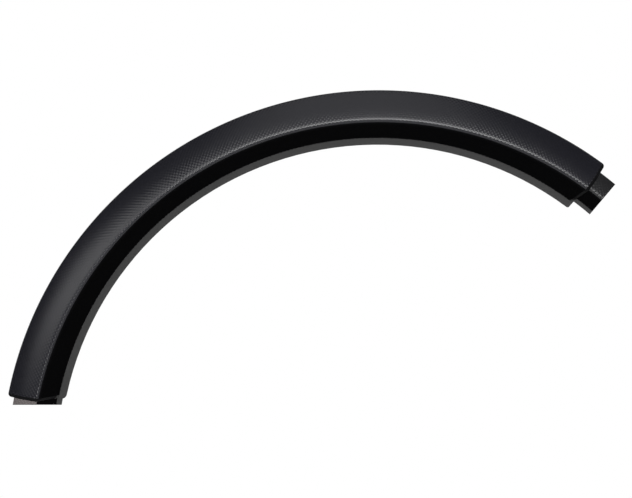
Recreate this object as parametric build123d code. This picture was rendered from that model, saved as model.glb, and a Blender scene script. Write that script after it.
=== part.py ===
"""Wheel arch trim: one plastic moulding that covers the edge of a car's wing round the wheel.

X points to the right as the trim is seen from outside the car, Y points into the wing and
Z points up. A section is drawn with X as the distance from the wheel axis and with Y = 0 on
the seat, the plane of the wing that the trim lies against. Lengths are in millimetres, and
angles in degrees turn from +X towards +Z about the wheel axis.
"""

import os
from math import cos, degrees, hypot, pi, radians, sin

from build123d import *

# Visible side of the section, from the rim over the ridge and down the return wall to the hem
rim_radius = 399.5
rim_edge = 1.5
face_width = 35.5
face_bulge = 80.0
ridge_height = 16.0
ridge_round = 5.0
return_lean = 12.2
foot_depth = 25.0
flange_width = 7.0
flange_fall = 4.0

# Wall of the moulding, and the flat land of its rim
wall = 2.8
rim_land = 4.0

# Ends: each is cut by a plane through the rim at an angle, turned from the radius there
right_end_angle = 53.2
right_end_turn = 0.0
right_hem_corner = 2.0
left_end_angle = 169.1
left_end_turn = 4.4
left_hem_corner = 5.0
end_round = 4.0
end_web = 3.0

# Stepped tongue at each end, which the next trim laps over. Its own end is turned from the
# radius as the trim's is, and tilted so that it is shorter in front
tongue_wall = 2.2
tongue_edge = 2.4
tongue_step = 6.0
tongue_ridge_inset = 2.5
tongue_ridge_round = 4.0
right_tongue_length = 20.6
right_tongue_turn = -3.5
right_tongue_tilt = 9.7
right_tongue_rim_inset = 9.5
right_tongue_foot_inset = 5.1
right_tongue_foot_lift = 5.0
right_tongue_strip = 4.5
left_tongue_length = 8.5
left_tongue_turn = 10.9
left_tongue_tilt = 8.2
left_tongue_rim_inset = 7.0
left_tongue_foot_inset = 1.0
left_tongue_foot_lift = 0.0
left_tongue_strip = 5.7

# Clip feet behind the face, each a plate on the seat with a keyhole for a push-in clip
hole_from_ridge = 15.0
hole_radius = 4.0
hole_throat = 5.0
crown_hole_angle = 10.0
shoulder_hole_angle = 30.0
upper_leg_hole_angle = 50.0
lower_leg_hole_angle = 70.0
foot_plate = 2.5
foot_length = 30.0
foot_wall = 2.0

# Stiffening ribs across the hollow, in each gap between two feet
gap_rib_count = 2
rib = 1.6
rib_setback = 0.8

wheel_axis = Axis((0, 0, 0), (0, -1, 0))
upright = degrees(pi / 2)
end_overrun = 6.0
on_plane = 0.001
ridge_radius = rim_radius - face_width
foot_radius = ridge_radius - return_lean
hem_radius = foot_radius - flange_width
hem_depth = foot_depth + flange_fall
hollow_depth = hem_depth + wall
hole_circle_radius = ridge_radius + hole_from_ridge


def hidden_normal(start, end):
    """Direction square to a section line, towards its hidden side."""
    along = (end - start).normalized()
    return Vector(along.Y, -along.X)


def mitre(before, corner, after, depth):
    """A corner of a section line moved to the hidden side by the same depth from both its sides."""
    first = hidden_normal(before, corner)
    second = hidden_normal(corner, after)
    return corner + (first + second) * (depth / (1 + first.dot(second)))


def hidden_line(front, thickness):
    """Rim, ridge, foot and hem of the hidden side, one thickness behind the visible side."""
    rim, ridge, foot, hem = front
    return (
        Vector(rim.X - rim_land, 0),
        mitre(rim, ridge, foot, thickness),
        mitre(ridge, foot, hem, thickness),
        hem + hidden_normal(foot, hem) * thickness,
    )


def hidden_bulge(front, back):
    """Radius of a hidden face arc that has the same sag as the visible one."""
    return face_bulge * ((back[1] - back[0]).length / (front[1] - front[0]).length) ** 2


def rounded(face, corner, radius):
    """The section with one of its corners rounded."""
    return fillet(face.vertices().sort_by_distance(corner)[:1], radius)


def form_section(front, back):
    """Section of the solid form: what lies behind the face and the return wall."""
    rim, ridge, foot, _ = front
    heel = back[2]
    corners = (ridge, foot, heel, (rim.X, heel.Y), rim)
    face = make_face([RadiusArc(rim, ridge, face_bulge), *Polyline(*corners).edges()])
    return rounded(face, ridge, ridge_round)


def hollow_section(back, bulge, ridge_radius_inside):
    """Section of the space behind a hidden line and behind the seat."""
    rim, ridge, foot, _ = back
    outside = rim_radius + wall
    corners = (ridge, foot, (foot.X, hollow_depth), (outside, hollow_depth), (outside, 0), rim)
    face = make_face([RadiusArc(rim, ridge, bulge), *Polyline(*corners).edges()])
    return rounded(face, ridge, ridge_radius_inside)


def tongue_section(front, back):
    """Section of a tongue: face, return wall and strip, one wall thick."""
    rim, ridge, foot, hem = front
    back_rim, back_ridge, back_foot, back_hem = back
    face = make_face(
        [
            RadiusArc(rim, ridge, face_bulge),
            *Polyline(ridge, foot, hem, back_hem, back_foot, back_ridge).edges(),
            RadiusArc(back_ridge, back_rim, -hidden_bulge(front, back)),
            *Polyline(back_rim, (rim.X, 0), rim).edges(),
        ]
    )
    face = rounded(face, ridge, tongue_ridge_round)
    return rounded(face, back_ridge, tongue_ridge_round - tongue_wall)


def swept(face, start, stop):
    """A section turned about the wheel axis from one angle to another."""
    return revolve(Rot(0, -start, 0) * face, wheel_axis, stop - start)


def end_plane(angle, turn, tilt, outward):
    """Plane of an end cut through the rim, facing out of the trim and tilted to the front."""
    at_rim = Vector(cos(radians(angle)), 0, sin(radians(angle))) * rim_radius
    facing = radians(angle + turn)
    across = Vector(cos(facing), 0, sin(facing))
    along = Vector(-sin(facing), 0, cos(facing)) * outward * cos(radians(tilt))
    return Plane(at_rim, x_dir=across, z_dir=along - Vector(0, sin(radians(tilt)), 0))


def full_length(face, setback):
    """A section swept from end to end, stopping short of both end planes by a setback."""
    sweep = swept(face, right_end_angle - end_overrun, left_end_angle + end_overrun)
    sweep = split(sweep, right_plane.offset(-setback), Keep.BOTTOM)
    return split(sweep, left_plane.offset(-setback), Keep.BOTTOM)


def end_stretch(face, angle, first, last):
    """A section swept at one end, between two planes that face out of the trim."""
    sweep = swept(face, angle - end_overrun, angle + end_overrun)
    return split(split(sweep, first, Keep.TOP), last, Keep.BOTTOM)


def edges_on(solid, plane):
    """Edges of a solid with their middles on a plane."""
    return solid.edges().filter_by_position(Axis(plane.origin, plane.z_dir), -on_plane, on_plane)


def tongue_line(rim_inset, foot_inset, foot_lift, strip):
    """Rim, ridge, foot and hem of a tongue's visible side, inside the trim's own."""
    foot = main_front[2] + Vector(foot_inset, -foot_lift)
    return (
        Vector(rim_radius - rim_inset, -tongue_edge),
        Vector(ridge_radius + tongue_ridge_inset, tongue_step - ridge_height),
        foot,
        foot + (main_front[3] - main_front[2]).normalized() * strip,
    )


def flange():
    """Narrow flange along the inner edge, rooted in the foot of the return wall."""
    _, ridge, foot, hem = main_front
    heel, back_hem = main_back[2:]
    root = (foot + heel) / 2 + (ridge - foot).normalized() * wall
    strip = full_length(make_face(Polyline(hem, foot, root, heel, back_hem, close=True)), 0)
    for plane, corner in ((right_plane, right_hem_corner), (left_plane, left_hem_corner)):
        innermost = min(edges_on(strip, plane), key=lambda e: hypot(e.center().X, e.center().Z))
        strip = fillet(innermost, corner)
    return strip


def tongue(plane, angle, tip, front):
    """A tongue out to its tip plane, and the space behind it that is cut out of the end web."""
    back = hidden_line(front, tongue_wall)
    behind = hollow_section(back, hidden_bulge(front, back), tongue_ridge_round - tongue_wall)
    inner, outer = plane.offset(-end_web - wall), plane.offset(end_round)
    space = end_stretch(hollow & behind, angle, inner, outer)
    return end_stretch(tongue_section(front, back), angle, plane.offset(-end_web / 2), tip), space


def across_hollow(front_y, back_y):
    """Section of a web across the hollow between two depths, sunk half way into the walls."""
    middle = [(front + back) / 2 for front, back in zip(main_front, main_back)]
    rim, ridge, foot, _ = middle
    at_seat = ridge + (foot - ridge) * (ridge.Y / (ridge.Y - foot.Y))
    bulge = hidden_bulge(main_front, middle)
    face = make_face(
        [RadiusArc(rim, ridge, bulge), *Polyline(ridge, at_seat, (rim.X, 0), rim).edges()]
    )
    face = rounded(face, ridge, ridge_round - wall / 2)
    band = Pos(rim_radius, (front_y + back_y) / 2) * Rectangle(2 * rim_radius, back_y - front_y)
    return face & band


def clip_foot(angle):
    """Foot with its mouth to the right: a plate on the seat, a far wall and a keyhole."""
    plate = extrude(across_hollow(-foot_plate, 0), foot_length / 2, both=True)
    far_wall = Pos(0, 0, foot_length / 2) * extrude(across_hollow(-ridge_height, 0), foot_wall)
    hole = Pos(hole_circle_radius, 0, 0) * Rot(90, 0, 0) * Cylinder(hole_radius, 2 * foot_plate)
    mouth = Pos(hole_circle_radius, 0, -foot_length / 2)
    throat = mouth * Box(hole_throat, 2 * foot_plate, foot_length)
    return Rot(0, -angle, 0) * (plate + far_wall - hole - throat)


def stiffener(angle):
    """Rib square across the hollow, just clear of the seat."""
    section = across_hollow(-ridge_height, -rib_setback)
    return Rot(0, -angle, 0) * extrude(section, rib / 2, both=True)


main_front = (
    Vector(rim_radius, -rim_edge),
    Vector(ridge_radius, -ridge_height),
    Vector(foot_radius, foot_depth),
    Vector(hem_radius, hem_depth),
)
main_back = hidden_line(main_front, wall)
right_plane = end_plane(right_end_angle, right_end_turn, 0, -1)
left_plane = end_plane(left_end_angle, left_end_turn, 0, 1)

# Solid form with rounded ends, hollowed out to one wall all over
form = full_length(form_section(main_front, main_back), 0)
for plane in (right_plane, left_plane):
    front_edges = [e for e in edges_on(form, plane) if e.center().Y < foot_depth]
    form = fillet(front_edges, end_round)
hollow = hollow_section(main_back, hidden_bulge(main_front, main_back), ridge_round - wall)
trim = form - full_length(hollow, end_web)

# Flange, and a tongue at each end
right_line = tongue_line(
    right_tongue_rim_inset, right_tongue_foot_inset, right_tongue_foot_lift, right_tongue_strip
)
left_line = tongue_line(
    left_tongue_rim_inset, left_tongue_foot_inset, left_tongue_foot_lift, left_tongue_strip
)
right_tip = end_plane(right_end_angle, right_tongue_turn, right_tongue_tilt, -1)
left_tip = end_plane(left_end_angle, left_tongue_turn, left_tongue_tilt, 1)
right_tongue, right_space = tongue(
    right_plane, right_end_angle, right_tip.offset(right_tongue_length), right_line
)
left_tongue, left_space = tongue(
    left_plane, left_end_angle, left_tip.offset(left_tongue_length), left_line
)
trim = trim - right_space - left_space + flange() + right_tongue + left_tongue

# Clip feet, with ribs spaced evenly in the gaps between them
foot_angles = (
    upright - shoulder_hole_angle,
    upright - crown_hole_angle,
    upright + crown_hole_angle,
    upright + shoulder_hole_angle,
    upright + upper_leg_hole_angle,
    upright + lower_leg_hole_angle,
)
trim += [clip_foot(angle) for angle in foot_angles]
for angle, following in zip(foot_angles, foot_angles[1:]):
    pitch = (following - angle) / (gap_rib_count + 1)
    trim += [stiffener(angle + pitch * place) for place in range(1, gap_rib_count + 1)]

# The origin is on the seat, midway between the two crown holes
trim = Pos(0, 0, -hole_circle_radius * cos(radians(crown_hole_angle))) * trim

os.makedirs("parts", exist_ok=True)
export_step(trim, "parts/arch_trim.step")
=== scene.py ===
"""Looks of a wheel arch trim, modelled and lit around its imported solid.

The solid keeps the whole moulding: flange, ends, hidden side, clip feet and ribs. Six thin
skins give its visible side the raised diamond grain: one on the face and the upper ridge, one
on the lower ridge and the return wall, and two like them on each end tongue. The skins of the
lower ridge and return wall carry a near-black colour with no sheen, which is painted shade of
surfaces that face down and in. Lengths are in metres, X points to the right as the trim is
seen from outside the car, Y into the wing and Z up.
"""

import math
from typing import NamedTuple

import bpy
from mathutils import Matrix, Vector
from mathutils.kdtree import KDTree


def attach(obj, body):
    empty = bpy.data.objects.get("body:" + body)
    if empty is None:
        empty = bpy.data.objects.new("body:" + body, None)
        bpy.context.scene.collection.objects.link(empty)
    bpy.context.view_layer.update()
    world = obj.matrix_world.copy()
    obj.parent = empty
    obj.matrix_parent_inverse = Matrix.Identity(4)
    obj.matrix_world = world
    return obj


bl_info = {
    "name": "Wheel Arch Trim",
    "version": (1, 0, 0),
    "blender": (4, 5, 0),
    "location": "View3D > Sidebar > Arch Trim",
    "description": "Grain, finish and studio of a plastic wheel arch trim",
    "category": "Object",
}

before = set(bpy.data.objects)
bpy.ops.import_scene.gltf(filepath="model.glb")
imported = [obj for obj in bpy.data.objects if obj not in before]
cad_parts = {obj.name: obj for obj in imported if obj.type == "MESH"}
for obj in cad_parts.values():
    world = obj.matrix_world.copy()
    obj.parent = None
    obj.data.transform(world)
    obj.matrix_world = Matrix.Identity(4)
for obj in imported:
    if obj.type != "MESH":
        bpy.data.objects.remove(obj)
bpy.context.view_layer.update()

ROOT = "root"
NODE = "arch_trim"

WELD_SHARE = 0.1  # of the grain's margin: vertices closer than this are one
CLOUD_SCALE = 18.0
CLOUD_DETAIL = 4.0
PIT_DETAIL = 2.0
PIT_DEPTH = 0.0001
MIDDLE_TONE = 0.5
FLOOR_ROUGHNESS = 0.9
SENSOR_WIDTH = 36.0
LEVEL_CAMERA = (math.radians(90.0), 0.0, 0.0)
BACKDROP_FROM = 0.1  # Y of a direction where the backdrop begins, and where it is all white
BACKDROP_FULL = 0.4


class Finish(NamedTuple):
    """Surface of a plastic, apart from its colour."""

    cloudiness: float
    roughness: float
    specular: float
    pitting: float


FACE_FINISH = Finish(0.2, 0.24, 0.5, 0.25)
TONGUE_FINISH = Finish(0.2, 0.28, 0.5, 0.25)
# No sheen on the return wall: part of its painted shade.
SHADED_WALL_FINISH = Finish(0.2, 0.85, 0.0, 0.25)
SMOOTH_FINISH = Finish(0.1, 0.7, 0.05, 0.2)


class Lamp(NamedTuple):
    """An area lamp that faces the aim, with angles in degrees from the front."""

    name: str
    azimuth: float
    elevation: float
    distance: float
    sides: tuple
    power: str
    in_gloss: bool


LAMPS = (
    Lamp("front softbox", 8.0, 9.0, 2.2, (1.2, 0.6), "front_power", True),
    Lamp("low softbox", 5.0, -2.0, 2.2, (0.86, 0.46), "low_power", True),
    Lamp("halo light", 0.0, 21.0, 2.2, (2.0, 0.7), "halo_power", True),
    Lamp("side softbox", -42.0, 11.0, 2.0, (1.15, 0.7), "side_power", True),
    Lamp("top softbox", 0.0, 60.0, 1.8, (1.4, 1.7), "top_power", True),
    Lamp("front fill", 0.0, 2.0, 2.6, (1.6, 1.2), "fill_power", False),
    Lamp("rear softbox", 160.0, 25.0, 2.4, (1.6, 1.2), "rear_power", False),
)


# Values that a user would change


def length(name, description, default):
    """A length in metres, shown with the scene's unit."""
    return bpy.props.FloatProperty(
        name=name, description=description, default=default, precision=5, unit="LENGTH"
    )


def turn(name, description, default):
    """An angle given in degrees and kept in radians."""
    return bpy.props.FloatProperty(
        name=name, description=description, default=math.radians(default), subtype="ANGLE"
    )


def shade(name, description, default):
    """A linear colour."""
    return bpy.props.FloatVectorProperty(
        name=name, description=description, default=default, subtype="COLOR", min=0.0, max=1.0
    )


def amount(name, description, default):
    """A plain number."""
    return bpy.props.FloatProperty(name=name, description=description, default=default)


class ArchSection(bpy.types.PropertyGroup):
    """Visible side of the section, as distance from the wheel axis and depth behind the seat."""

    axis_height: length("Wheel axis", "Height of the wheel axis", -0.373242)
    rim_radius: length("Rim", "Radius of the outer rim", 0.3995)
    rim_edge: length("Rim edge", "Height of the rim in front of the seat", 0.0015)
    ridge_radius: length("Ridge", "Radius of the ridge corner", 0.364)
    ridge_height: length("Ridge height", "Height of the ridge in front of the seat", 0.016)
    foot_radius: length("Foot", "Radius at the foot of the return wall", 0.3518)
    foot_depth: length("Foot depth", "Depth of the foot behind the seat", 0.025)
    face_bulge: length("Face bulge", "Radius of the convex face", 0.080)
    ridge_round: length("Ridge round", "Radius that rounds the ridge", 0.005)
    # The rest of the rounded ridge gets the return wall's near-black colour, painted shade.
    ridge_share: amount("Ridge share", "Share of the rounded ridge that the face skin covers", 0.6)


class ArchEnds(bpy.types.PropertyGroup):
    """End planes, and the tongues that stand out of them."""

    right_angle: turn("Right end", "Angle of the right end at the rim", 53.2)
    right_turn: turn("Right turn", "Turn of the right end plane from the radius", 0.0)
    left_angle: turn("Left end", "Angle of the left end at the rim", 169.1)
    left_turn: turn("Left turn", "Turn of the left end plane from the radius", 4.4)
    end_round: length("End round", "Radius that rounds the ends", 0.004)
    overrun: turn("Overrun", "Angle that a skin runs past an end before it is cut", 6.0)
    tongue_edge: length("Tongue edge", "Height of a tongue's rim in front of the seat", 0.0024)
    tongue_step: length("Tongue step", "Step from the ridge down to a tongue's ridge", 0.006)
    tongue_ridge_inset: length("Tongue ridge", "Step of a tongue's ridge to the rim", 0.0025)
    tongue_ridge_round: length("Tongue round", "Radius that rounds a tongue's ridge", 0.004)
    right_length: length("Right tongue", "Length of the right tongue", 0.0206)
    right_tip_turn: turn("Right tip turn", "Turn of the right tongue's end plane", -3.5)
    right_tip_tilt: turn("Right tip tilt", "Tilt of that plane to the front", 9.7)
    right_rim_inset: length("Right rim inset", "Step inward of the right tongue's rim", 0.0095)
    right_foot_inset: length("Right foot inset", "Step outward of its foot", 0.0051)
    right_foot_lift: length("Right foot lift", "Step forward of its foot", 0.005)
    left_length: length("Left tongue", "Length of the left tongue", 0.0085)
    left_tip_turn: turn("Left tip turn", "Turn of the left tongue's end plane", 10.9)
    left_tip_tilt: turn("Left tip tilt", "Tilt of that plane to the front", 8.2)
    left_rim_inset: length("Left rim inset", "Step inward of the left tongue's rim", 0.007)
    left_foot_inset: length("Left foot inset", "Step outward of its foot", 0.001)
    left_foot_lift: length("Left foot lift", "Step forward of its foot", 0.0)


class DiamondGrain(bpy.types.PropertyGroup):
    """Raised diamonds of the moulded grain."""

    pitch: length("Pitch", "A quarter of the repeat of the diamonds along the arch", 0.00106)
    height: length("Height", "Height of the diamonds from pit to peak", 0.0008)
    lift: length("Lift", "Height of the pits over the moulding", 0.00005)
    skin: length("Skin", "Thickness of the skin, which is sunk in the moulding", 0.0006)
    margin: length("Margin", "Smooth margin left at the rim and the foot", 0.0006)
    crease: turn("Crease", "Angle above which an edge of a skin stays sharp", 50.0)


class TrimColours(bpy.types.PropertyGroup):
    """Colours of the finishes, among them painted shade and painted light."""

    face: shade("Face", "Grained face and ridge", (0.0122, 0.0122, 0.0158))
    # Near-black: painted shade of the return wall and lower ridge, which face down and in.
    wall: shade("Return wall", "Grained wall under the ridge", (0.0035, 0.0035, 0.0038))
    right_tongue: shade("Right tongue", "Grained face of the right tongue", (0.016, 0.016, 0.017))
    # The left tongue's pale pinkish grey is a painted highlight on its face.
    left_tongue: shade("Left tongue", "Grained face of the left tongue", (0.130, 0.115, 0.115))
    flange: shade("Flange", "Smooth flange of the inner edge", (0.054, 0.054, 0.054))
    # Lighter tone on surfaces that face back into the wing: painted light, so the hidden side
    # shows.
    hidden: shade("Hidden side", "Smooth side that lies on the wing", (0.026, 0.026, 0.027))
    # Near-black tone on the ends, edges and other surfaces that face front or sideways: painted
    # shade.
    edge: shade("Edges", "Rounded ends and edges", (0.006, 0.006, 0.0065))
    # Where the normal's Y passes from the edges' painted shade to the hidden side's painted light.
    painted_light_from: amount("Hidden from", "Y of the normal where the hidden side begins", 0.2)
    painted_light_blend: amount("Hidden blend", "Change of Y over which its colour comes in", 0.3)
    flange_from: length("Flange from", "Depth behind the seat where the flange begins", 0.0195)
    flange_blend: length("Flange blend", "Depth over which its colour comes in", 0.0003)


class TrimStudio(bpy.types.PropertyGroup):
    """Camera, lamps and floor."""

    lens: amount("Lens", "Focal length on a sensor 36 mm wide", 61.8)
    camera_x: length("Camera X", "Camera to the right of the origin", -0.0666)
    camera_y: length("Camera Y", "Camera behind the seat", -1.1475)
    camera_z: length("Camera Z", "Camera above the origin", -0.1415)
    floor_height: length("Floor", "Height of the floor", -1.15)
    floor_side: length("Floor side", "Side of the floor", 4.0)
    floor: shade("Floor", "Pale floor", (0.80, 0.80, 0.80))
    floor_white: amount("Floor white", "Share of plain white that the eye sees in the floor", 0.8)
    aim: bpy.props.FloatVectorProperty(
        name="Aim", description="Place that the lamps face", default=(-0.05, 0.0, -0.1),
        subtype="TRANSLATION",
    )
    front_power: amount("Front light", "Power of the softbox at the camera, in watts", 18.0)
    low_power: amount("Low light", "Power of the softbox under that one, in watts", 7.0)
    halo_power: amount("Halo light", "Power of the strip over them, in watts", 9.5)
    side_power: amount("Side light", "Power of the softbox on the left, in watts", 5.8)
    top_power: amount("Top light", "Power of the softbox over the arch, in watts", 4.8)
    fill_power: amount("Fill light", "Power of the fill behind the camera, in watts", 19.0)
    rear_power: amount("Rear light", "Power of the softbox behind the trim, in watts", 40.0)
    ambient: amount("Ambient", "Strength of the dim room light", 0.02)


GROUPS = {
    "arch_section": ArchSection,
    "arch_ends": ArchEnds,
    "diamond_grain": DiamondGrain,
    "trim_colours": TrimColours,
    "trim_studio": TrimStudio,
}


# Modelling in edit mode


def at(radius, depth, angle):
    """A point of the section at an angle round the wheel axis."""
    height = bpy.context.scene.arch_section.axis_height
    return Vector((radius * math.cos(angle), depth, height + radius * math.sin(angle)))


def round_axis(angle):
    """Direction along the arch at an angle, which a section turns about when it is rounded."""
    return Vector((-math.sin(angle), 0.0, math.cos(angle)))


def one_vertex(name, place):
    """A new piece that is one vertex, left in edit mode to be drawn out."""
    bpy.ops.object.select_all(action="DESELECT")
    bpy.ops.mesh.primitive_plane_add(location=place)
    piece = bpy.context.object
    piece.name = name
    piece.data.name = name
    bpy.ops.object.transform_apply(location=True, rotation=True, scale=True)
    bpy.ops.object.mode_set(mode="EDIT")
    bpy.ops.mesh.select_all(action="SELECT")
    bpy.ops.mesh.merge(type="CENTER")
    return piece


def draw_arc(centre, angle, axis, span, pitch):
    """The selected vertex drawn out round a centre, in steps of about one pitch."""
    steps = max(1, round(span / pitch))
    bpy.ops.mesh.spin(steps=steps, angle=angle, center=centre, axis=axis)


def draw_line(move, pitch):
    """The selected vertex drawn out straight, in steps of about one pitch."""
    steps = max(1, round(move.length / pitch))
    for _ in range(steps):
        bpy.ops.mesh.extrude_region_move(TRANSFORM_OT_translate={"value": move / steps})


def select_vertices(piece, wanted):
    """Selects the vertices that a test wants, and leaves the piece in edit mode."""
    bpy.ops.object.mode_set(mode="EDIT")
    bpy.ops.mesh.select_mode(type="VERT")
    bpy.ops.mesh.select_all(action="DESELECT")
    bpy.ops.object.mode_set(mode="OBJECT")
    for vertex in piece.data.vertices:
        vertex.select = wanted(vertex)
    bpy.ops.object.mode_set(mode="EDIT")


def finish_piece(piece, material, crease):
    """Smooth shading, material, body and slot of a finished piece."""
    bpy.ops.object.mode_set(mode="OBJECT")
    bpy.ops.object.shade_smooth_by_angle(angle=crease)
    piece.data.materials.clear()
    piece.data.materials.append(material)
    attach(piece, ROOT)


# Section lines


class SectionLine:
    """Face arc, rounded ridge and return wall of a section, in radius and depth."""

    def __init__(self, rim, ridge, foot, bulge, ridge_round, ridge_share):
        self.rim = Vector(rim)
        self.foot = Vector(foot)
        self.bulge = bulge
        self.ridge_round = ridge_round
        self.ridge_share = ridge_share
        corner = Vector(ridge)
        chord = corner - self.rim
        hidden = Vector((chord.y, -chord.x)).normalized()
        reach = math.sqrt(bulge**2 - (chord.length / 2) ** 2)
        self.face_centre = (self.rim + corner) / 2 + hidden * reach
        self.down = (self.foot - corner).normalized()
        self.wall_hidden = Vector((self.down.y, -self.down.x))
        start = corner + self.wall_hidden * ridge_round
        offset = start - self.face_centre
        along = offset.dot(self.down)
        inside = offset.length_squared - (bulge - ridge_round) ** 2
        self.round_centre = start - self.down * (along + math.sqrt(along**2 - inside))
        self.wall_top = self.round_centre - self.wall_hidden * ridge_round

    def face_normal(self):
        """Outward direction where the face runs into the rounded ridge."""
        return (self.round_centre - self.face_centre).normalized()

    def face_sweep(self):
        """Angle of the face arc from the rim to the rounded ridge."""
        return (self.rim - self.face_centre).angle(self.face_normal())

    def ridge_sweep(self):
        """Angle of the rounded ridge."""
        return self.face_normal().angle(-self.wall_hidden)

    def split_normal(self):
        """Outward direction of the rounded ridge where the face skin meets the wall skin."""
        return self.face_normal().slerp(-self.wall_hidden, self.ridge_share)


def main_line():
    """Section line of the arch itself."""
    section = bpy.context.scene.arch_section
    return SectionLine(
        (section.rim_radius, -section.rim_edge),
        (section.ridge_radius, -section.ridge_height),
        (section.foot_radius, section.foot_depth),
        section.face_bulge,
        section.ridge_round,
        section.ridge_share,
    )


def tongue_line(rim_inset, foot_inset, foot_lift):
    """Section line of a tongue, inside the arch's own."""
    section = bpy.context.scene.arch_section
    ends = bpy.context.scene.arch_ends
    return SectionLine(
        (section.rim_radius - rim_inset, -ends.tongue_edge),
        (section.ridge_radius + ends.tongue_ridge_inset, ends.tongue_step - section.ridge_height),
        (section.foot_radius + foot_inset, section.foot_depth - foot_lift),
        section.face_bulge,
        ends.tongue_ridge_round,
        section.ridge_share,
    )


def end_plane(angle, angle_turn, tilt, outward, offset):
    """Point and outward normal of an end plane, moved along its normal by an offset."""
    facing = angle + angle_turn
    normal = Vector((-math.sin(facing), 0.0, math.cos(facing))) * outward * math.cos(tilt)
    normal.y = -math.sin(tilt)
    rim = bpy.context.scene.arch_section.rim_radius
    return at(rim, 0.0, angle) + normal * offset, normal


def right_end(offset):
    """The right end plane, moved outward by an offset."""
    ends = bpy.context.scene.arch_ends
    return end_plane(ends.right_angle, ends.right_turn, 0.0, -1, offset)


def left_end(offset):
    """The left end plane, moved outward by an offset."""
    ends = bpy.context.scene.arch_ends
    return end_plane(ends.left_angle, ends.left_turn, 0.0, 1, offset)


def right_tip(offset):
    """End plane of the right tongue, moved outward by an offset from the right end."""
    ends = bpy.context.scene.arch_ends
    return end_plane(ends.right_angle, ends.right_tip_turn, ends.right_tip_tilt, -1, offset)


def left_tip(offset):
    """End plane of the left tongue, moved outward by an offset from the left end."""
    ends = bpy.context.scene.arch_ends
    return end_plane(ends.left_angle, ends.left_tip_turn, ends.left_tip_tilt, 1, offset)


# Grained skins


def draw_face(name, line, start, grain):
    """Face and upper ridge of a section, drawn in its plane at the start angle."""
    axis = round_axis(start)
    first = line.face_centre + (line.rim - line.face_centre).normalized() * line.bulge
    piece = one_vertex(name, at(first.x, first.y, start))
    sweep = line.face_sweep()
    centre = at(line.face_centre.x, line.face_centre.y, start)
    draw_arc(centre, sweep, axis, sweep * line.bulge, grain.pitch)
    sweep = line.ridge_sweep() * line.ridge_share
    centre = at(line.round_centre.x, line.round_centre.y, start)
    draw_arc(centre, sweep, axis, sweep * line.ridge_round, grain.pitch)
    return piece


def draw_wall(name, line, start, grain):
    """Lower ridge and return wall of a section, drawn in its plane at the start angle."""
    first = line.round_centre + line.split_normal() * line.ridge_round
    piece = one_vertex(name, at(first.x, first.y, start))
    rest = line.ridge_sweep() * (1.0 - line.ridge_share)
    centre = at(line.round_centre.x, line.round_centre.y, start)
    draw_arc(centre, rest, round_axis(start), rest * line.ridge_round, grain.pitch)
    end = line.foot - line.down * grain.margin
    draw_line(at(end.x, end.y, start) - at(line.wall_top.x, line.wall_top.y, start), grain.pitch)
    return piece


def sweep_grain(piece, start, stop, outside, grain):
    """A drawn section swept round the wheel axis, with peaks and pits between its edges."""
    height = bpy.context.scene.arch_section.axis_height
    bpy.ops.object.mode_set(mode="OBJECT")
    rows = KDTree(len(piece.data.vertices))
    reach = 0.0
    for vertex in piece.data.vertices:
        radius = math.hypot(vertex.co.x, vertex.co.z - height)
        rows.insert((radius, vertex.co.y, 0.0), vertex.index)
        reach += radius / len(piece.data.vertices)
    rows.balance()
    last = len(piece.data.vertices) - 1
    columns = round((stop - start) * reach / grain.pitch)
    step = (stop - start) / columns
    bpy.ops.object.mode_set(mode="EDIT")
    bpy.ops.mesh.select_all(action="SELECT")
    bpy.ops.mesh.spin(
        steps=columns, angle=stop - start, center=(0.0, 0.0, height), axis=(0.0, 1.0, 0.0)
    )
    bpy.ops.mesh.select_all(action="SELECT")
    bpy.ops.mesh.remove_doubles(threshold=grain.margin * WELD_SHARE)
    bpy.ops.mesh.normals_make_consistent(inside=False)
    bpy.ops.object.mode_set(mode="OBJECT")
    middle = piece.data.polygons[len(piece.data.polygons) // 2]
    bpy.ops.object.mode_set(mode="EDIT")
    if middle.normal.dot(outside(middle.center)) < 0:
        bpy.ops.mesh.flip_normals()
    bpy.ops.transform.shrink_fatten(value=grain.height / 2 + grain.lift)

    def cell(vertex):
        place = Vector((vertex.co.x, vertex.co.z - height))
        row = rows.find((place.length, vertex.co.y, 0.0))[1]
        return row, round((math.atan2(place.y, place.x) - start) / step)

    def edge(vertex):
        return cell(vertex)[0] in (0, last)

    def peak_or_pit(vertex, parity):
        row, column = cell(vertex)
        inside = 0 < row < last and row % 2 == 0 and column % 2 == 0
        return inside and (row + column) // 2 % 2 == parity

    select_vertices(piece, edge)
    bpy.ops.transform.shrink_fatten(value=-grain.height / 2)
    select_vertices(piece, lambda vertex: peak_or_pit(vertex, 0))
    bpy.ops.transform.shrink_fatten(value=grain.height / 2)
    select_vertices(piece, lambda vertex: peak_or_pit(vertex, 1))
    bpy.ops.transform.shrink_fatten(value=-grain.height / 2)


def cut_off(plane):
    """Everything of the piece that lies outside an end plane is cut away."""
    place, normal = plane
    bpy.ops.mesh.select_all(action="SELECT")
    bpy.ops.mesh.bisect(plane_co=place, plane_no=normal, clear_outer=True)


def thicken(piece, grain):
    """The sheet closed to a thin skin that reaches into the moulding."""
    bpy.ops.object.mode_set(mode="OBJECT")
    wall = piece.modifiers.new("Skin", "SOLIDIFY")
    wall.thickness = grain.skin
    wall.offset = -1.0
    bpy.ops.object.modifier_apply(modifier=wall.name)


def outward_of_face(place):
    """Rough outward direction of a face or ridge: to the front."""
    return Vector((0.0, -1.0, 0.0))


def outward_of_wall(place):
    """Rough outward direction of a return wall: towards the wheel axis."""
    height = bpy.context.scene.arch_section.axis_height
    return Vector((-place.x, 0.0, height - place.z))


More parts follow.
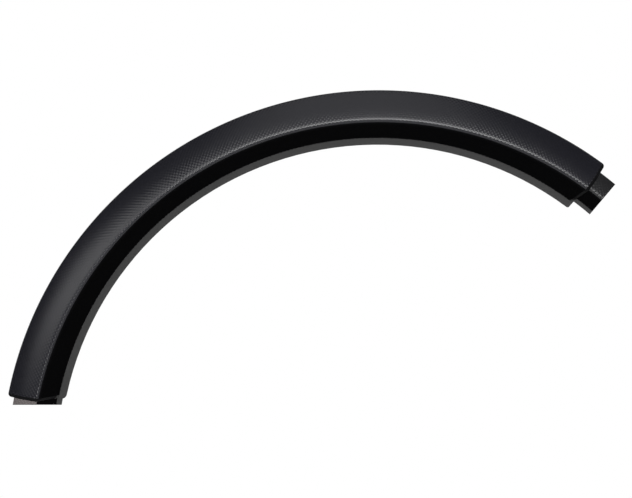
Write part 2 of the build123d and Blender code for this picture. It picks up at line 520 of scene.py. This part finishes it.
def grained_skin(name, line, draw, outside, start, stop, planes, material):
    """A finished skin on one part of a section, swept between two angles and cut by planes."""
    grain = bpy.context.scene.diamond_grain
    piece = draw(name, line, start, grain)
    sweep_grain(piece, start, stop, outside, grain)
    for plane in planes:
        cut_off(plane)
    thicken(piece, grain)
    finish_piece(piece, material, grain.crease)
    return piece


# Materials


def new_material(name):
    """A material with its nodes and links, which hold one shader and the output."""
    material = bpy.data.materials.new(name)
    material.use_nodes = True
    return material, material.node_tree.nodes, material.node_tree.links


def fine_plastic_group():
    """Node group: cloudy tone, roughness and fine pitting of moulded plastic."""
    name = "fine moulded plastic"
    if name in bpy.data.node_groups:
        return bpy.data.node_groups[name]
    group = bpy.data.node_groups.new(name, "ShaderNodeTree")
    for label, kind, default in (
        ("Colour", "NodeSocketColor", (0.04, 0.04, 0.04, 1.0)),
        ("Cloudiness", "NodeSocketFloat", 0.15),
        ("Roughness", "NodeSocketFloat", 0.6),
        ("Pit Size", "NodeSocketFloat", 2500.0),
    ):
        socket = group.interface.new_socket(label, in_out="INPUT", socket_type=kind)
        socket.default_value = default
    for label, kind in (
        ("Colour", "NodeSocketColor"),
        ("Roughness", "NodeSocketFloat"),
        ("Height", "NodeSocketFloat"),
    ):
        group.interface.new_socket(label, in_out="OUTPUT", socket_type=kind)
    nodes, links = group.nodes, group.links
    given = nodes.new("NodeGroupInput")
    result = nodes.new("NodeGroupOutput")
    place = nodes.new("ShaderNodeTexCoord")
    clouds = nodes.new("ShaderNodeTexNoise")
    clouds.inputs["Scale"].default_value = CLOUD_SCALE
    clouds.inputs["Detail"].default_value = CLOUD_DETAIL
    pits = nodes.new("ShaderNodeTexNoise")
    pits.inputs["Detail"].default_value = PIT_DETAIL
    links.new(place.outputs["Object"], clouds.inputs["Vector"])
    links.new(place.outputs["Object"], pits.inputs["Vector"])
    links.new(given.outputs["Pit Size"], pits.inputs["Scale"])
    spread = nodes.new("ShaderNodeMath")
    spread.operation = "SUBTRACT"
    spread.inputs[1].default_value = MIDDLE_TONE
    links.new(clouds.outputs["Fac"], spread.inputs[0])
    depth = nodes.new("ShaderNodeMath")
    depth.operation = "MULTIPLY_ADD"
    depth.inputs[2].default_value = 1.0
    links.new(spread.outputs[0], depth.inputs[0])
    links.new(given.outputs["Cloudiness"], depth.inputs[1])
    tint = nodes.new("ShaderNodeVectorMath")
    tint.operation = "SCALE"
    links.new(given.outputs["Colour"], tint.inputs[0])
    links.new(depth.outputs[0], tint.inputs["Scale"])
    links.new(tint.outputs[0], result.inputs["Colour"])
    rough = nodes.new("ShaderNodeMath")
    rough.operation = "MULTIPLY"
    rough.use_clamp = True
    links.new(given.outputs["Roughness"], rough.inputs[0])
    links.new(depth.outputs[0], rough.inputs[1])
    links.new(rough.outputs[0], result.inputs["Roughness"])
    links.new(pits.outputs["Fac"], result.inputs["Height"])
    return group


def moulded_plastic(name, colour, surface):
    """Plastic of one colour with a moulded finish."""
    material, nodes, links = new_material(name)
    shader = nodes["Principled BSDF"]
    shader.inputs["Specular IOR Level"].default_value = surface.specular
    finish = nodes.new("ShaderNodeGroup")
    finish.node_tree = fine_plastic_group()
    finish.inputs["Colour"].default_value = (*colour, 1.0)
    finish.inputs["Cloudiness"].default_value = surface.cloudiness
    finish.inputs["Roughness"].default_value = surface.roughness
    pitting = nodes.new("ShaderNodeBump")
    pitting.inputs["Strength"].default_value = surface.pitting
    pitting.inputs["Distance"].default_value = PIT_DEPTH
    links.new(finish.outputs["Colour"], shader.inputs["Base Color"])
    links.new(finish.outputs["Roughness"], shader.inputs["Roughness"])
    links.new(finish.outputs["Height"], pitting.inputs["Height"])
    links.new(pitting.outputs["Normal"], shader.inputs["Normal"])
    return material


def face_plastic():
    """Grained face: charcoal with a soft sheen."""
    return moulded_plastic("grained face", bpy.context.scene.trim_colours.face, FACE_FINISH)


def tongue_plastic(side):
    """Grained tongue: the right one a little paler than the face, the left one pale pinkish grey, a
    painted highlight.
    """
    colour = getattr(bpy.context.scene.trim_colours, f"{side}_tongue")
    return moulded_plastic(f"grained {side} tongue", colour, TONGUE_FINISH)


def shaded_wall_plastic():
    """Grained return wall and lower ridge: near-black with no sheen, painted shade of surfaces that
    face down and in.
    """
    colour = bpy.context.scene.trim_colours.wall
    return bpy.data.materials.get("grained return wall") or moulded_plastic(
        "grained return wall", colour, SHADED_WALL_FINISH
    )


# Operators, one for each group of pieces


class TRIM_OT_face_grain(bpy.types.Operator):
    """Add the grained skin of the lower ridge and the return wall, in the near-black of painted
    shade.
    """

    bl_idname = "arch_trim.face_grain"
    bl_label = "Face Grain"

    def execute(self, context):
        ends = context.scene.arch_ends
        grained_skin(
            "face_grain",
            main_line(),
            draw_face,
            outward_of_face,
            ends.right_angle,
            ends.left_angle + ends.overrun,
            (right_end(-ends.end_round), left_end(-ends.end_round)),
            face_plastic(),
        )
        return {"FINISHED"}


class TRIM_OT_wall_grain(bpy.types.Operator):
    """Add the grained skin of the lower ridge and the return wall."""

    bl_idname = "arch_trim.wall_grain"
    bl_label = "Return Wall Grain"

    def execute(self, context):
        ends = context.scene.arch_ends
        grained_skin(
            "return_wall_grain",
            main_line(),
            draw_wall,
            outward_of_wall,
            ends.right_angle,
            ends.left_angle + ends.overrun,
            (right_end(-ends.end_round), left_end(-ends.end_round)),
            shaded_wall_plastic(),
        )
        return {"FINISHED"}


class TRIM_OT_tongue_grain(bpy.types.Operator):
    """Add the grained skins of both end tongues."""

    bl_idname = "arch_trim.tongue_grain"
    bl_label = "Tongue Grain"

    def execute(self, context):
        ends = context.scene.arch_ends
        right = tongue_line(ends.right_rim_inset, ends.right_foot_inset, ends.right_foot_lift)
        left = tongue_line(ends.left_rim_inset, ends.left_foot_inset, ends.left_foot_lift)
        margin = context.scene.diamond_grain.margin
        right_cut = right_tip(ends.right_length - margin)
        left_cut = left_tip(ends.left_length - margin)
        for side, line, angle, root, tip in (
            ("right", right, ends.right_angle, right_end(0.0), right_cut),
            ("left", left, ends.left_angle, left_end(0.0), left_cut),
        ):
            planes = (tip, (root[0], -root[1]))
            for part, draw, outside, material in (
                ("face", draw_face, outward_of_face, tongue_plastic(side)),
                ("wall", draw_wall, outward_of_wall, shaded_wall_plastic()),
            ):
                grained_skin(
                    f"{side}_tongue_{part}_grain",
                    line,
                    draw,
                    outside,
                    angle - ends.overrun,
                    angle + ends.overrun,
                    planes,
                    material,
                )
        return {"FINISHED"}


class TRIM_OT_moulding_finish(bpy.types.Operator):
    """Give the moulding itself its smooth finish and the tones of its zones: painted shade where
    it faces front or sideways, painted light where it faces back, and the flange's own tone.
    """

    bl_idname = "arch_trim.moulding_finish"
    bl_label = "Moulding Finish"

    def execute(self, context):
        colours = context.scene.trim_colours
        material = moulded_plastic("smooth moulding", colours.hidden, SMOOTH_FINISH)
        self.paint_zones(material, colours)
        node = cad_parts[NODE]
        node.data.materials.clear()
        node.data.materials.append(material)
        return {"FINISHED"}

    def paint_zones(self, material, colours):
        """Painted shade on the ends, edges and surfaces that face front or sideways, painted light
        where the surface faces back into the wing, and the flange's own tone by depth.
        """
        nodes, links = material.node_tree.nodes, material.node_tree.links
        solid = nodes.new("ShaderNodeNewGeometry")
        place = nodes.new("ShaderNodeTexCoord")
        # Near-black of the ends and edges: painted shade.
        edge = nodes.new("ShaderNodeRGB")
        edge.outputs[0].default_value = (*colours.edge, 1.0)
        paint = edge.outputs[0]
        # By the normal from the edges' painted shade to the hidden side's painted light, then the
        # flange's own tone by depth.
        for source, start, blend, colour in (
            (solid.outputs["Normal"], colours.painted_light_from, colours.painted_light_blend, colours.hidden),
            (place.outputs["Object"], colours.flange_from, colours.flange_blend, colours.flange),
        ):
            axes = nodes.new("ShaderNodeSeparateXYZ")
            zone = nodes.new("ShaderNodeMapRange")
            zone.inputs["From Min"].default_value = start
            zone.inputs["From Max"].default_value = start + blend
            mix = nodes.new("ShaderNodeMix")
            mix.data_type = "RGBA"
            mix.inputs["B"].default_value = (*colour, 1.0)
            links.new(source, axes.inputs[0])
            links.new(axes.outputs["Y"], zone.inputs["Value"])
            links.new(zone.outputs["Result"], mix.inputs["Factor"])
            links.new(paint, mix.inputs["A"])
            paint = mix.outputs["Result"]
        links.new(paint, nodes["Group"].inputs["Colour"])


class TRIM_OT_studio(bpy.types.Operator):
    """Add the floor, the lamps and the camera."""

    bl_idname = "arch_trim.studio"
    bl_label = "Studio"

    def execute(self, context):
        studio = context.scene.trim_studio
        bpy.ops.object.select_all(action="DESELECT")
        bpy.ops.mesh.primitive_plane_add(
            size=studio.floor_side, location=(0.0, 0.0, studio.floor_height)
        )
        floor = context.object
        floor.name = "floor"
        floor.data.materials.append(self.pale_floor(studio))
        for lamp in LAMPS:
            self.add_lamp(lamp, studio)
        self.light_room(context.scene, studio.ambient)
        bpy.ops.object.camera_add(
            location=(studio.camera_x, studio.camera_y, studio.camera_z),
            rotation=LEVEL_CAMERA,
        )
        camera = context.object
        camera.name = "photo camera"
        camera.data.sensor_width = SENSOR_WIDTH
        camera.data.lens = studio.lens
        context.scene.camera = camera
        context.scene.view_settings.view_transform = "Standard"
        return {"FINISHED"}

    def add_lamp(self, lamp, studio):
        """One area lamp, which the camera does not see."""
        around, up = math.radians(lamp.azimuth), math.radians(lamp.elevation)
        away = Vector((math.sin(around), -math.cos(around), math.tan(up))).normalized()
        bpy.ops.object.light_add(
            type="AREA",
            location=Vector(studio.aim) + away * lamp.distance,
            rotation=away.to_track_quat("Z", "Y").to_euler(),
        )
        light = bpy.context.object
        light.name = lamp.name
        light.data.shape = "RECTANGLE"
        light.data.size, light.data.size_y = lamp.sides
        light.data.energy = getattr(studio, lamp.power)
        light.visible_camera = False
        light.visible_glossy = lamp.in_gloss

    def pale_floor(self, studio):
        """Pale floor that the eye sees nearly white, with a faint shadow."""
        material, nodes, links = new_material("pale floor")
        matt = nodes["Principled BSDF"]
        matt.inputs["Base Color"].default_value = (*studio.floor, 1.0)
        matt.inputs["Roughness"].default_value = FLOOR_ROUGHNESS
        rays = nodes.new("ShaderNodeLightPath")
        share = nodes.new("ShaderNodeMath")
        share.operation = "MULTIPLY"
        share.inputs[1].default_value = studio.floor_white
        white = nodes.new("ShaderNodeEmission")
        blend = nodes.new("ShaderNodeMixShader")
        links.new(rays.outputs["Is Camera Ray"], share.inputs[0])
        links.new(share.outputs[0], blend.inputs["Fac"])
        links.new(matt.outputs["BSDF"], blend.inputs[1])
        links.new(white.outputs["Emission"], blend.inputs[2])
        links.new(blend.outputs["Shader"], nodes["Material Output"].inputs["Surface"])
        return material

    def light_room(self, scene, ambient):
        """White to the eye, a white backdrop behind the trim in gloss and glass, dim elsewhere."""
        world = bpy.data.worlds.new("white room")
        scene.world = world
        world.use_nodes = True
        nodes, links = world.node_tree.nodes, world.node_tree.links
        room = nodes["Background"]
        room.inputs["Color"].default_value = (1.0, 1.0, 1.0, 1.0)
        rays = nodes.new("ShaderNodeLightPath")
        place = nodes.new("ShaderNodeTexCoord")
        axes = nodes.new("ShaderNodeSeparateXYZ")
        behind = nodes.new("ShaderNodeMapRange")
        behind.inputs["From Min"].default_value = BACKDROP_FROM
        behind.inputs["From Max"].default_value = BACKDROP_FULL
        links.new(place.outputs["Generated"], axes.inputs[0])
        links.new(axes.outputs["Y"], behind.inputs["Value"])
        steps = [nodes.new("ShaderNodeMath") for _ in range(4)]
        mirrored, backdrop, seen, strength = steps
        mirrored.operation = seen.operation = strength.operation = "MAXIMUM"
        backdrop.operation = "MULTIPLY"
        strength.inputs[1].default_value = ambient
        links.new(rays.outputs["Is Glossy Ray"], mirrored.inputs[0])
        links.new(rays.outputs["Is Transmission Ray"], mirrored.inputs[1])
        links.new(mirrored.outputs[0], backdrop.inputs[0])
        links.new(behind.outputs["Result"], backdrop.inputs[1])
        links.new(rays.outputs["Is Camera Ray"], seen.inputs[0])
        links.new(backdrop.outputs[0], seen.inputs[1])
        links.new(seen.outputs[0], strength.inputs[0])
        links.new(strength.outputs[0], room.inputs["Strength"])


OPERATORS = (
    TRIM_OT_face_grain,
    TRIM_OT_wall_grain,
    TRIM_OT_tongue_grain,
    TRIM_OT_moulding_finish,
    TRIM_OT_studio,
)


class TRIM_PT_arch_trim(bpy.types.Panel):
    """Sidebar panel with the trim's operators and values."""

    bl_idname = "TRIM_PT_arch_trim"
    bl_label = "Wheel Arch Trim"
    bl_space_type = "VIEW_3D"
    bl_region_type = "UI"
    bl_category = "Arch Trim"

    def draw(self, context):
        for operator in OPERATORS:
            self.layout.operator(operator.bl_idname)
        for name, group in GROUPS.items():
            box = self.layout.box()
            for prop in group.__annotations__:
                box.prop(getattr(context.scene, name), prop)


CLASSES = (*GROUPS.values(), *OPERATORS, TRIM_PT_arch_trim)


def register():
    for cls in CLASSES:
        bpy.utils.register_class(cls)
    for name, group in GROUPS.items():
        setattr(bpy.types.Scene, name, bpy.props.PointerProperty(type=group))


def unregister():
    for name in GROUPS:
        delattr(bpy.types.Scene, name)
    for cls in reversed(CLASSES):
        bpy.utils.unregister_class(cls)


def main():
    register()
    bpy.ops.arch_trim.face_grain()
    bpy.ops.arch_trim.wall_grain()
    bpy.ops.arch_trim.tongue_grain()
    bpy.ops.arch_trim.moulding_finish()
    bpy.ops.arch_trim.studio()


if __name__ == "__main__":
    main()
